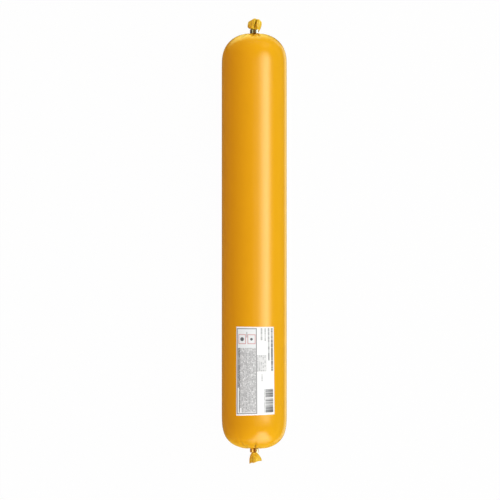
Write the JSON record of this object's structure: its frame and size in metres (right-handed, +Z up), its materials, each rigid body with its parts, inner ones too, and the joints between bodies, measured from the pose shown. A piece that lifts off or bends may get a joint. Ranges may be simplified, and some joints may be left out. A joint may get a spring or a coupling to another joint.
{
  "type": "sealant sausage pack",
  "caption": "Film tube filled with sealant, gathered into pleats at both ends and closed by crimped wire clips, with ruffled tails and a paper label.",
  "frame": {"origin": "on the surface under the middle of the pack's whole length, below its long axis", "axes": "+Y along the pack towards its top clip, +Z up through the side that carries the label"},
  "size_m": [0.05, 0.3418, 0.0497],
  "materials": {
    "film": "satin gloss golden yellow film",
    "clip_wire": "bright drawn wire",
    "label_paper": null
  },
  "bodies": {
    "root": {"film_pack": "film", "top_clip": "clip_wire", "bottom_clip": "clip_wire", "label": "label_paper"}
  },
  "joints": []
}
